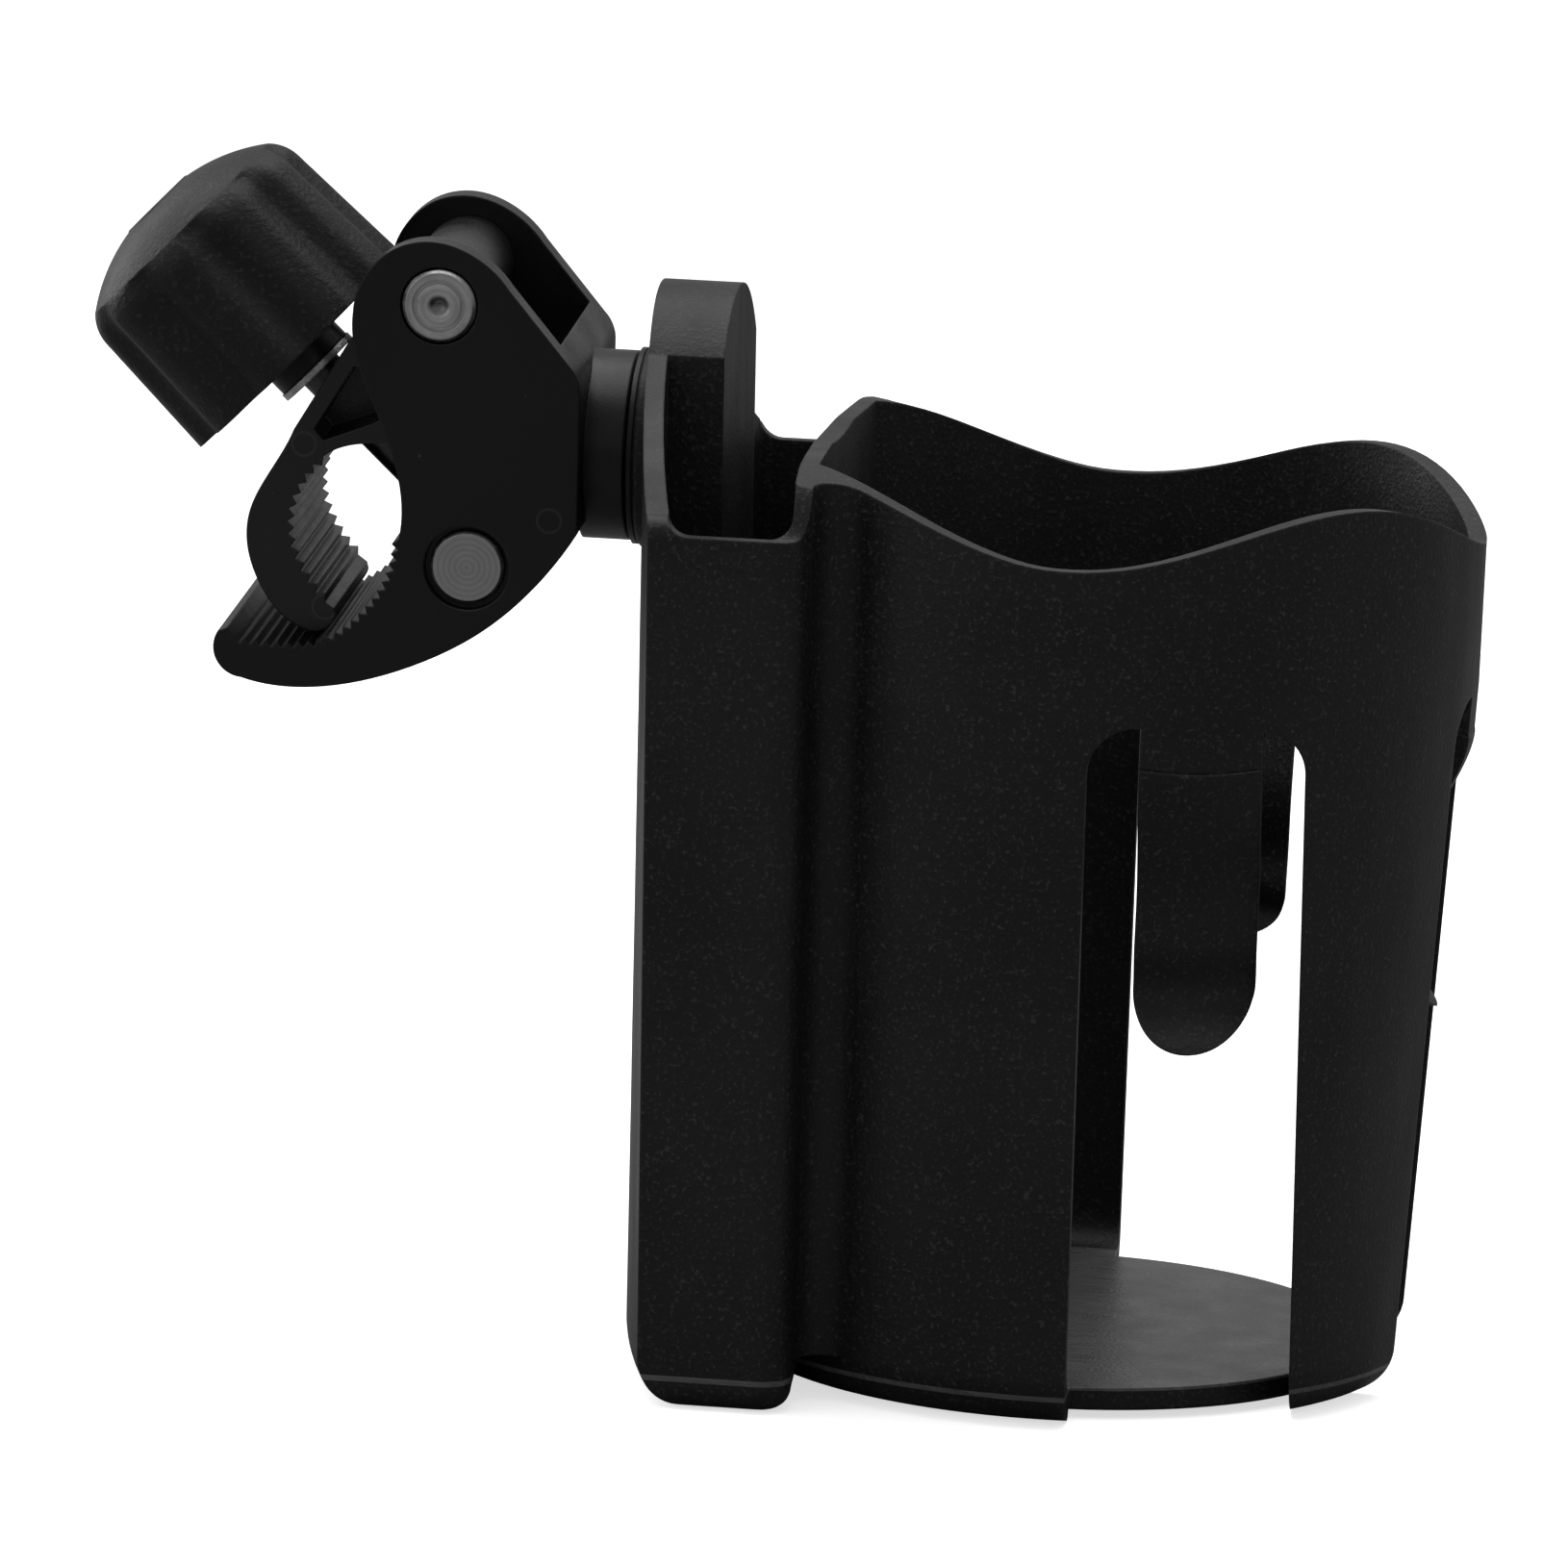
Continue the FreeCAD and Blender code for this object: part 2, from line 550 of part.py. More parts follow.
def make_clamp_body():
    teeth = toothed_run(hook_inner_line(), HOOK_TEETH, TOOTH, 1)
    upper_inner = spline_edge([teeth[-1], (-75.0, -4.2), (-76.0, 0.6), (-78.4, 6.7), (-80.3, 12.0),
                               (-80.6, 16.2)])
    ear = spline_edge([(-80.6, 16.2), (-79.0, 20.9), (-75.8, 23.7), (-72.0, 24.5), (-67.6, 23.2),
                       (-63.6, 19.6)])
    back = [
        Part.makeLine(v2((-63.6, 19.6)), v2((-56.9, 11.6))),
        Part.Arc(v2((-56.9, 11.6)), v2((-56.0, 10.2)), v2((-55.7, 8.4))).toShape(),
        Part.makeLine(v2((-55.7, 8.4)), v2((-55.7, -7.0))),
    ]
    outer = spline_edge([(-55.7, -7.0), (-60.4, -13.4), (-66.5, -18.9), (-72.7, -22.4), (-79.3, -24.8),
                         (-84.0, -25.7), (-88.6, -25.8), (-92.4, -25.1)])
    tip = [
        Part.Arc(v2((-92.4, -25.1)), v2((-95.3, -22.9)), v2((-95.0, -20.0))).toShape(),
        Part.makeLine(v2((-95.0, -20.0)), v2((-94.0, -19.6))),
        Part.makeLine(v2((-94.0, -19.6)), v2(teeth[0])),
    ]
    holding = [Part.makeLine(v2(a), v2(b)) for a, b in zip(teeth[:-1], teeth[1:])]
    body = prism_y(holding + [upper_inner, ear] + back + [outer] + tip, -CHEEK_HALF, CHEEK_HALF)

    cavity = polygon_edges([(-100, 40), (REAR_WALL_X, 40), (REAR_WALL_X, -5.3), (-72.6, -5.3), (-72.6, -1.2),
                            (-74.4, -0.2), (-84.0, -0.2), (-100, 5)])
    body = body.cut(prism_y(cavity, -CAVITY_HALF, CAVITY_HALF))

    neck = Part.makeCylinder(NECK_R, NECK_END_X + 56.5, Vector(-56.5, 0, 0), Vector(1, 0, 0))
    neck = neck.makeChamfer(0.4, [e for e in neck.Edges if e.BoundBox.XMin > NECK_END_X - 1e-3])
    body = body.fuse(neck)
    body = body.cut(Part.makeCylinder(SCREW_R + GAP, 12, Vector(-60, 0, 0), Vector(1, 0, 0)))

    pivot_hole = Part.makeCylinder(PIN_R, 60, Vector(PIVOT[0], -30, PIVOT[1]), Vector(0, 1, 0))
    nut_hole = Part.makeCylinder(NUT_R + GAP, 60, Vector(NUT[0], -30, NUT[1]), Vector(0, 1, 0))
    body = body.cut([pivot_hole, nut_hole])
    for side in (-1, 1):
        face = side * CHEEK_HALF
        for centre, radius in ((PIVOT, PIN_HEAD_R + 0.25), (NUT, NUT_R + 0.7)):
            start = Vector(centre[0], face - side * 1.3, centre[1])
            body = body.cut(Part.makeCylinder(radius, 5, start, Vector(0, side, 0)))

    screw_room = polygon_edges([
        along_screw(-5.4, -2.8), along_screw(-5.4, 2.8), along_screw(2.0, 3.3), along_screw(16, 3.3),
        along_screw(16, -6.4), along_screw(2.0, -3.8)])
    body = body.cut(prism_y(screw_room, -SCREW_R - 0.5, SCREW_R + 0.5))
    return body.removeSplitter()


def jaw_inner_line():
    """Toothed holding surface of the jaw, from near its tip upwards."""
    return [(-83.7, -16.9), (-86.6, -13.3), (-88.0, -8.4), (-86.9, -3.8), (-84.1, -0.6)]


def make_jaw():
    teeth = toothed_run(jaw_inner_line(), JAW_TEETH, TOOTH, -1)
    hub_left = arc_point(PIVOT, 5.4, 150)
    hub_top = arc_point(PIVOT, HUB_R, 75)
    hub_right = arc_point(PIVOT, HUB_R, -35)
    outline = [
        Part.makeLine(v2(hub_left), v2((-81.4, 12.5))),
        Part.makeLine(v2((-81.4, 12.5)), v2((-87.4, 2.3))),
        spline_edge([(-87.4, 2.3), (-90.5, -3.4), (-92.3, -7.6), (-92.4, -11.0), (-91.3, -14.6),
                     (-88.9, -18.2), (-86.0, -20.1)]),
        Part.Arc(v2((-86.0, -20.1)), v2((-83.8, -20.1)), v2((-82.5, -18.4))).toShape(),
        Part.makeLine(v2((-82.5, -18.4)), v2((-82.7, -17.6))),
        Part.makeLine(v2((-82.7, -17.6)), v2(teeth[0])),
    ]
    outline += [Part.makeLine(v2(a), v2(b)) for a, b in zip(teeth[:-1], teeth[1:])]
    outline += [
        spline_edge([teeth[-1], (-82.2, 0.5), (-80.2, 1.0), (-78.4, 1.2), (-77.0, 1.5)]),
        Part.makeLine(v2((-77.0, 1.5)), v2(hub_right)),
        Part.Arc(v2(hub_right), v2(hub_top), v2(hub_left)).toShape(),
    ]
    jaw = prism_y(outline, -JAW_HALF, JAW_HALF)

    hollow = [(-80.9, 9.6), (-85.2, 2.4), (-84.2, 1.2), (-78.9, 3.3), (-76.6, 4.6), (-73.6, 10.0)]
    for low, high in ((-JAW_HALF - 1, -4.4), (4.4, JAW_HALF + 1)):
        jaw = jaw.cut(prism_y(polygon_edges(hollow), low, high))

    bore = Part.makeCylinder(PIN_R + GAP, 60, Vector(PIVOT[0], -30, PIVOT[1]), Vector(0, 1, 0))
    jaw = jaw.cut(bore)

    seat = WASHER_AT - 2.0
    start = along_screw(seat, 0)
    swing = math.radians(SCREW_ANGLE + 20.0)
    out = (math.cos(swing), math.sin(swing))
    side = (-out[1], out[0])
    inner_low = (start[0] - out[0] * 22 + side[0] * -3.4, start[1] - out[1] * 22 + side[1] * -3.4)
    outer_low = (start[0] + out[0] * 6 + side[0] * 3.6, start[1] + out[1] * 6 + side[1] * 3.6)
    slot = polygon_edges([
        along_screw(seat + 6, -3.2), along_screw(seat - 2, -3.4), inner_low,
        along_screw(seat - 22, 3.2), along_screw(seat, 3.2), outer_low])
    jaw = jaw.cut(prism_y(slot, -SCREW_R - 0.5, SCREW_R + 0.5))
    return jaw.removeSplitter()


def make_pivot_pin():
    """Riveted pin: shank with a turned head at each end."""
    centre = Vector(PIVOT[0], 0, PIVOT[1])
    axis = Vector(0, 1, 0)
    pin = Part.makeCylinder(PIN_R, 2 * CHEEK_HALF - 1.0, centre - axis * (CHEEK_HALF - 0.5), axis)
    for side in (-1, 1):
        out = axis * side
        inner = centre + out * (CHEEK_HALF - 1.3)
        head = Part.makeCylinder(PIN_HEAD_R, 1.5, inner, out)
        face_y = (inner + out * 1.5).y
        head = head.makeChamfer(0.35, [e for e in head.Edges if abs(e.BoundBox.YMin - face_y) < 1e-3])
        groove = Part.makeCylinder(2.9, 1, inner + out * 1.2, out)
        groove = groove.cut(Part.makeCylinder(2.35, 1, inner + out * 1.2, out))
        dimple = Part.makeCone(0.1, 1.3, 0.8, inner + out * 0.71, out)
        pin = pin.fuse(head).cut([groove, dimple])
    return pin.removeSplitter()


def make_barrel_nut():
    centre = Vector(NUT[0], 0, NUT[1])
    axis = Vector(0, 1, 0)
    length = 2 * CHEEK_HALF - 0.6
    nut = Part.makeCylinder(NUT_R, length, centre - axis * (0.5 * length), axis)
    nut = nut.makeChamfer(0.3, [e for e in nut.Edges if e.Curve.TypeId == "Part::GeomCircle"])
    hole = cylinder_between(v2(along_screw(-6)), v2(along_screw(6)), SCREW_R + GAP)
    return nut.cut(hole)


def make_clamp_screw():
    """Hexagon-head screw whose head is moulded into the knob."""
    head_at = KNOB_FACE + 8.0
    out = v2(along_screw(1)) - v2(along_screw(0))
    shank = cylinder_between(v2(along_screw(SCREW_TIP)), v2(along_screw(head_at + 0.5)), SCREW_R)
    shank = shank.makeChamfer(0.5, [shank.Edges[-1]])
    head = hexagon_prism(v2(along_screw(head_at)), out, HEX_M5, HEX_M5_HIGH, Vector(0, 1, 0))
    return shank.fuse(head).removeSplitter()


def knob_tools():
    """Turn a shape drawn about Z, face at zero, onto the screw's axis."""
    out = v2(along_screw(1)) - v2(along_screw(0))
    turn = FreeCAD.Rotation(Vector(0, 0, 1), out)
    return FreeCAD.Placement(v2(along_screw(KNOB_FACE)), turn)


def lobed_wire(z, radius, groove):
    """Closed outline with rounded lobes and grooves of a given depth."""
    points = []
    count = 12 * KNOB_LOBES
    for step in range(count):
        turn = 2 * math.pi * step / count
        wave = 0.5 + 0.5 * math.cos(KNOB_LOBES * (turn - math.radians(KNOB_PHASE)))
        reach = radius - groove * (1 - wave) ** 2
        points.append(Vector(reach * math.cos(turn), reach * math.sin(turn), z))
    curve = Part.BSplineCurve()
    curve.interpolate(points, PeriodicFlag=True)
    return Part.Wire(curve.toShape())


def knob_radius(z):
    """Radius over the lobes: a gentle taper, then a shoulder rounded inwards."""
    if z <= SHOULDER_Z:
        return KNOB_R - 0.6 * z / SHOULDER_Z
    drop = z - SHOULDER_Z
    return KNOB_R - 0.6 - SHOULDER_R + math.sqrt(SHOULDER_R ** 2 - drop ** 2)


def make_knob():
    """Grip with ten lobes whose grooves fade out under a domed end."""
    fade_from = SHOULDER_Z - 2.5
    skirt_ends = [lobed_wire(z, knob_radius(z), KNOB_GROOVE) for z in (0.0, fade_from)]
    skirt = Part.makeLoft(skirt_ends, True, True)
    levels = [fade_from + 1.0 * step for step in range(7)]
    rings = []
    for step, z in enumerate(levels):
        fade = step / (len(levels) - 1)
        rings.append(lobed_wire(z, knob_radius(z), KNOB_GROOVE * math.sqrt(max(0.0, 1 - fade ** 2))))
    shoulder = Part.makeLoft(rings, True)
    top = levels[-1]
    edges = [
        Part.makeLine(Vector(0, 0, top - 0.5), Vector(knob_radius(top) - 0.02, 0, top - 0.5)),
        Part.makeLine(Vector(knob_radius(top) - 0.02, 0, top - 0.5), Vector(knob_radius(top) - 0.02, 0, top)),
        Part.Arc(Vector(knob_radius(top) - 0.02, 0, top), Vector(8.7, 0, 21.0), Vector(0, 0, 22.4)).toShape(),
        Part.makeLine(Vector(0, 0, 22.4), Vector(0, 0, top - 0.5)),
    ]
    dome = Part.Face(Part.Wire(edges)).revolve(Vector(0, 0, 0), Vector(0, 0, 1), 360)
    knob = skirt.fuse([shoulder, dome])
    recess = Part.makeCylinder(CAP_R + 0.02, 3, Vector(0, 0, 21.0))
    bore = Part.makeCylinder(SCREW_R, 9, Vector(0, 0, -0.5))
    hexagon = hexagon_prism(Vector(0, 0, 8.0), Vector(0, 0, 1), HEX_M5, 14, Vector(0, 1, 0))
    socket = Part.makeCylinder(COLLAR_R, 1.2, Vector(0, 0, -0.2))
    knob = knob.cut([recess, bore, hexagon, socket]).removeSplitter()
    knob.Placement = knob_tools()
    return knob


def make_knob_cap():
    height = 1.0 + CAP_PROUD
    cap = Part.makeCylinder(CAP_R, height, Vector(0, 0, 21.0))
    cap = cap.makeFillet(0.4, [e for e in cap.Edges if e.BoundBox.ZMin > 20.9 + height])
    cap.Placement = knob_tools()
    return cap


def make_collar():
    """Spacer sleeve between the knob and the washer."""
    low = WASHER_AT + 0.5 * WASHER_THICK + 0.05 - KNOB_FACE
    collar = Part.makeCylinder(COLLAR_R, 1.0 - low, Vector(0, 0, low))
    collar = collar.cut(Part.makeCylinder(SCREW_R, 10, Vector(0, 0, low - 1)))
    collar.Placement = knob_tools()
    return collar


def make_washer():
    low = v2(along_screw(WASHER_AT - 0.5 * WASHER_THICK))
    high = v2(along_screw(WASHER_AT + 0.5 * WASHER_THICK))
    washer = cylinder_between(low, high, WASHER_R)
    return washer.cut(cylinder_between(v2(along_screw(20)), v2(along_screw(32)), SCREW_R + GAP))


# -------------------------------------------------------------------- swivel
def swivel_ring(x_low, x_high, outer, inner):
    """Ring about the swivel axis."""
    start = Vector(x_low, 0, SWIVEL_Z)
    ring = Part.makeCylinder(outer, x_high - x_low, start, Vector(1, 0, 0))
    return ring.cut(Part.makeCylinder(inner, x_high - x_low, start, Vector(1, 0, 0)))


def make_swivel_bolt():
    under_head = REAR_WALL_X - 1.05
    start = Vector(under_head - HEX_M5_HIGH, 0, SWIVEL_Z)
    head = hexagon_prism(start, Vector(1, 0, 0), HEX_M5, HEX_M5_HIGH, Vector(0, 1, 0))
    shank = Part.makeCylinder(SCREW_R, SWIVEL_NUT_X[1] - start.x, start, Vector(1, 0, 0))
    return head.fuse(shank).removeSplitter()


def make_swivel_nut():
    low, high = SWIVEL_NUT_X
    start = Vector(low, 0, SWIVEL_Z)
    nut = hexagon_prism(start, Vector(1, 0, 0), HEX_M5, high - low, Vector(0, 1, 0))
    return nut.cut(Part.makeCylinder(SCREW_R, 6, start - Vector(1, 0, 0), Vector(1, 0, 0)))


# --------------------------------------------------------------------- parts
def build():
    parts = {"holder_body": make_holder()}
    parts.update(make_tongues())

    parts["swivel_bolt"] = make_swivel_bolt()
    parts["swivel_nut"] = make_swivel_nut()
    parts["swivel_washer"] = swivel_ring(REAR_WALL_X - 1.05, REAR_WALL_X - 0.05, 4.7, SCREW_R)
    parts["swivel_disc"] = swivel_ring(-50.99, BOSS_X, 10.8, SCREW_R)

    for name, maker in (
        ("clamp_body", make_clamp_body),
        ("moving_jaw", make_jaw),
        ("jaw_pivot_pin", make_pivot_pin),
        ("barrel_nut", make_barrel_nut),
        ("clamp_screw", make_clamp_screw),
        ("screw_washer", make_washer),
        ("knob_collar", make_collar),
        ("knob", make_knob),
        ("knob_cap", make_knob_cap),
    ):
        parts[name] = place(maker())
    return parts


os.makedirs(OUT, exist_ok=True)
for node, shape in build().items():
    shape.translate(Vector(0, 0, -FLOOR_TOP))
    solids = shape.Solids
    result = solids[0] if len(solids) == 1 else Part.makeCompound(solids)
    result.exportStep(os.path.join(OUT, node + ".step"))
    print(node, len(solids), shape.isValid(), round(shape.Volume, 1))
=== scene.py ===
import json
import math

import bpy
from mathutils import Matrix, Vector


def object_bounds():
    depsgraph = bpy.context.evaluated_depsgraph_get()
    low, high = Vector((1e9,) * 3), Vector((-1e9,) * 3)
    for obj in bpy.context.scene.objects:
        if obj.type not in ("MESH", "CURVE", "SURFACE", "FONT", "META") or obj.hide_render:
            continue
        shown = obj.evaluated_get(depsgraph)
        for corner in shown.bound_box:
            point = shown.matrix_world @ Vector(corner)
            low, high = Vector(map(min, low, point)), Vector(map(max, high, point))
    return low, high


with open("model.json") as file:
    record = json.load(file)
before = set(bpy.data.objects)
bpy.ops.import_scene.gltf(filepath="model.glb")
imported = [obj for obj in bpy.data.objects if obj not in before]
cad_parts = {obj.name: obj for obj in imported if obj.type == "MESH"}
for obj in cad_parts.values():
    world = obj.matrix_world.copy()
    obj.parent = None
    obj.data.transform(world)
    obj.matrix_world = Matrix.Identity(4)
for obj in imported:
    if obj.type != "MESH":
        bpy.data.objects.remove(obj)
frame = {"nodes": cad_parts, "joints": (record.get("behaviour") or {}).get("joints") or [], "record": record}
cad_low, cad_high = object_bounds()

MM = 0.001
JOINTS = {joint["name"]: joint for joint in frame["joints"]}
MOUNTS = {mount["name"]: mount for mount in frame["record"]["mounts"]}


# ---------------------------------------------------------------- node graphs
class Graph:
    """A material's node tree, built a node at a time."""

    def __init__(self, name):
        self.material = bpy.data.materials.new(name)
        self.material.use_nodes = True
        self.tree = self.material.node_tree
        self.tree.nodes.clear()
        output = self.tree.nodes.new("ShaderNodeOutputMaterial")
        self.shader = self.tree.nodes.new("ShaderNodeBsdfPrincipled")
        self.tree.links.new(self.shader.outputs["BSDF"], output.inputs["Surface"])
        self.place = self.tree.nodes.new("ShaderNodeTexCoord").outputs["Object"]

    def put(self, socket, value):
        """Link an output to a socket, or set the socket's value."""
        if isinstance(value, bpy.types.NodeSocket):
            self.tree.links.new(value, socket)
        elif value is not None:
            socket.default_value = value

    def set(self, name, value):
        """Set an input of the material's shader."""
        self.put(self.shader.inputs[name], value)

    def math(self, operation, first, second=None, clamp=False):
        node = self.tree.nodes.new("ShaderNodeMath")
        node.operation = operation
        node.use_clamp = clamp
        self.put(node.inputs[0], first)
        self.put(node.inputs[1], second)
        return node.outputs[0]

    def vector(self, operation, first, second=None):
        node = self.tree.nodes.new("ShaderNodeVectorMath")
        node.operation = operation
        self.put(node.inputs[0], first)
        self.put(node.inputs[1], second)
        return node.outputs["Value" if operation in ("LENGTH", "DOT_PRODUCT") else "Vector"]

    def noise(self, pitch, detail=2.0, roughness=0.5, place=None):
        """Noise whose lumps are about pitch metres across, around 0.5."""
        node = self.tree.nodes.new("ShaderNodeTexNoise")
        self.put(node.inputs["Vector"], place or self.place)
        node.inputs["Scale"].default_value = 1.0 / pitch
        node.inputs["Detail"].default_value = detail
        node.inputs["Roughness"].default_value = roughness
        return node.outputs["Fac"]

    def cells(self, pitch):
        """Distance to the nearest of scattered points about pitch metres apart."""
        node = self.tree.nodes.new("ShaderNodeTexVoronoi")
        self.put(node.inputs["Vector"], self.place)
        node.inputs["Scale"].default_value = 1.0 / pitch
        return node.outputs["Distance"]

    def spread(self, value, low, high, to_low=0.0, to_high=1.0):
        """Map low..high to to_low..to_high, clamped."""
        node = self.tree.nodes.new("ShaderNodeMapRange")
        self.put(node.inputs["Value"], value)
        ends = {"From Min": low, "From Max": high, "To Min": to_low, "To Max": to_high}
        for name, number in ends.items():
            self.put(node.inputs[name], number)
        return node.outputs["Result"]

    def mix(self, share, first, second):
        """Blend two colours, from first at 0 to second at 1."""
        node = self.tree.nodes.new("ShaderNodeMix")
        node.data_type = "RGBA"
        self.put(node.inputs["Factor"], share)
        self.put(node.inputs["A"], first)
        self.put(node.inputs["B"], second)
        return node.outputs["Result"]

    def stretched(self, factors):
        """Object coordinates scaled along each axis, for drawn-out noise."""
        return self.vector("MULTIPLY", self.place, Vector(factors))

    def distance_from_axis(self, centre, axis):
        """Distance from the line through centre along a unit axis."""
        offset = self.vector("SUBTRACT", self.place, centre)
        return self.vector("LENGTH", self.vector("CROSS_PRODUCT", offset, axis))

    def rounded_normal(self, radius):
        """Normals that round every sharp edge off to a radius."""
        node = self.tree.nodes.new("ShaderNodeBevel")
        node.samples = 6
        node.inputs["Radius"].default_value = radius
        return node.outputs["Normal"]

    def edge_mask(self, rounded, gain):
        """1 along edges and 0 on open faces."""
        true = self.tree.nodes.new("ShaderNodeNewGeometry").outputs["Normal"]
        along = self.vector("DOT_PRODUCT", rounded, true)
        return self.math("MULTIPLY", self.math("SUBTRACT", 1.0, along), gain, clamp=True)

    def bump(self, height, distance, strength=1.0, normal=None):
        node = self.tree.nodes.new("ShaderNodeBump")
        node.inputs["Distance"].default_value = distance
        self.put(node.inputs["Strength"], strength)
        self.put(node.inputs["Height"], height)
        self.put(node.inputs["Normal"], normal)
        return node.outputs["Normal"]


def grey(level, tint=0.0):
    """Linear grey, a little blue where tint is above 0."""
    return (level, level, level * (1.0 + tint), 1.0)


# -------------------------------------------------------------------- plastic
DUST_GREY = 0.10
EJECTOR_RING_RADIUS = 1.3 * MM
EJECTOR_RING_WIDTH = 0.22 * MM
PLATE_REACH = 0.3 * MM          # how far from its level a point still counts as the floor plate
# the floor plate's greys: scratch marks over a painted reflection, far lighter than the plastic
PLATE_SHEEN_DARK, PLATE_SHEEN_LIGHT = 0.060, 0.115


def clamp_point(right, up):
    """A point of the clamp measured from the jaw's pivot, across and up its middle plane."""
    pivot = JOINTS["jaw_pivot"]
    rise = Vector((1.0, 0.0, 0.0)).cross(Vector(pivot["axis"]))
    return Vector(pivot["pos_m"]) + Vector((right * MM, 0.0, 0.0)) + rise * (up * MM)


def ring_mask(g, centres, radius, width):
    """1 on thin circles about the clamp's cross axis, one for each centre."""
    axis = Vector(JOINTS["jaw_pivot"]["axis"])
    total = 0.0
    for centre in centres:
        away = g.math("ABSOLUTE", g.math("SUBTRACT", g.distance_from_axis(centre, axis), radius))
        total = g.math("MAXIMUM", g.spread(away, 0.4 * width, width, 1.0, 0.0), total)
    return total


def wear_and_edge_highlight_mask(g, rounded):
    """Broken patches of wear along the edges, which also carry a painted edge highlight."""
    patches = g.spread(g.noise(1.6 * MM, 3.0), 0.36, 0.60, 0.35, 1.0)
    return g.math("MULTIPLY", g.edge_mask(rounded, 1.6), patches)


def dust_mask(g):
    """Specks a few millimetres apart, gathered in patches."""
    specks = g.spread(g.cells(3.0 * MM), 0.050, 0.075, 1.0, 0.0)
    patches = g.spread(g.noise(11.0 * MM), 0.50, 0.58, 0.0, 0.55)
    return g.math("MULTIPLY", specks, patches)


def scratch_and_paint_plate_sheen(g, colour, rough, plate):
    """Polish and scratch the upward face at height plate, painting it lighter as a stand-in for its
    reflection. Returns its colour and roughness.
    """
    height = g.vector("DOT_PRODUCT", g.place, Vector((0.0, 0.0, 1.0)))
    near = g.math("COMPARE", height, plate)
    near.node.inputs[2].default_value = PLATE_REACH
    scratches = g.noise(0.5 * MM, 3.0, 0.6, g.stretched((0.08, 1.0, 1.0)))
    polish = g.spread(scratches, 0.3, 0.7, 0.2, 0.06)
    # light and dark scratches over a painted reflection of the plate's upward face
    scuffed_sheen = g.mix(g.spread(scratches, 0.30, 0.72), grey(PLATE_SHEEN_DARK), grey(PLATE_SHEEN_LIGHT))
    return (g.mix(near, colour, scuffed_sheen),
            g.math("SUBTRACT", rough, g.math("MULTIPLY", near, polish)))


def moulded_plastic(name, level, roughness, grain, grain_height, edge_radius, edge_wear_highlight_level,
                    specular=0.24, speckle=0.0, marks=(), plate=None):
    """Black moulded plastic: fine grain, slow shade changes, edges lightened partly by wear and partly by a
    painted highlight, and a little dust.

    level is the plastic's grey, edge_wear_highlight_level the grey of its worn edges, lifted to paint their
    highlight, and speckle the share of light grains. marks are the centres of ejector rings, plate the
    height of a polished, scratched floor whose lighter colour is a painted reflection.
    """
    g = Graph(name)
    slow = g.noise(22.0 * MM, 3.0)
    streaks = g.noise(6.0 * MM, 2.0, place=g.stretched((1.0, 1.0, 0.22)))
    fine = g.noise(grain, 2.0, 0.6)
    rounded = g.rounded_normal(edge_radius)
    worn_and_highlit = wear_and_edge_highlight_mask(g, rounded)

    darker, lighter, light_grain = grey(level * 0.8, 0.04), grey(level * 1.3, 0.02), grey(level * 6.0)
    colour = g.mix(g.spread(slow, 0.35, 0.65), darker, lighter)
    colour = g.mix(g.spread(fine, 0.56, 0.74, 0.0, speckle), colour, light_grain)
    # edges lightened partly for wear and partly as a painted edge highlight
    colour = g.mix(g.math("MULTIPLY", worn_and_highlit, 0.7), colour, grey(edge_wear_highlight_level))
    colour = g.mix(g.math("MULTIPLY", dust_mask(g), 0.6), colour, grey(DUST_GREY))
    rough = g.spread(streaks, 0.3, 0.7, roughness - 0.06, roughness + 0.07)
    rough = g.math("ADD", rough, g.spread(fine, 0.3, 0.7, -0.04, 0.05))
    rough = g.math("SUBTRACT", rough, g.math("MULTIPLY", worn_and_highlit, 0.14), clamp=True)
    height = fine
    if marks:
        rings = ring_mask(g, marks, EJECTOR_RING_RADIUS, EJECTOR_RING_WIDTH)
        colour = g.mix(g.math("MULTIPLY", rings, 0.5), colour, grey(edge_wear_highlight_level * 0.7))
        height = g.math("SUBTRACT", fine, g.math("MULTIPLY", rings, 1.5))
    # the floor plate gets its scratches and a painted reflection
    if plate is not None:
        colour, rough = scratch_and_paint_plate_sheen(g, colour, rough, plate)
    g.set("Base Color", colour)
    g.set("Roughness", rough)
    g.set("Specular IOR Level", specular)
    grained = g.bump(height, grain_height, 1.0, rounded)
    g.set("Normal", g.bump(slow, 0.12 * MM, 0.5, grained))
    return g.material


# ---------------------------------------------------------------------- metal
STEEL_EDGE_RADIUS = 0.18 * MM
SCRATCH_DEPTH = 0.01 * MM
DIMPLE_FLOOR, DIMPLE_LIP = 0.9 * MM, 1.3 * MM     # radii between which the dimple's shade fades out


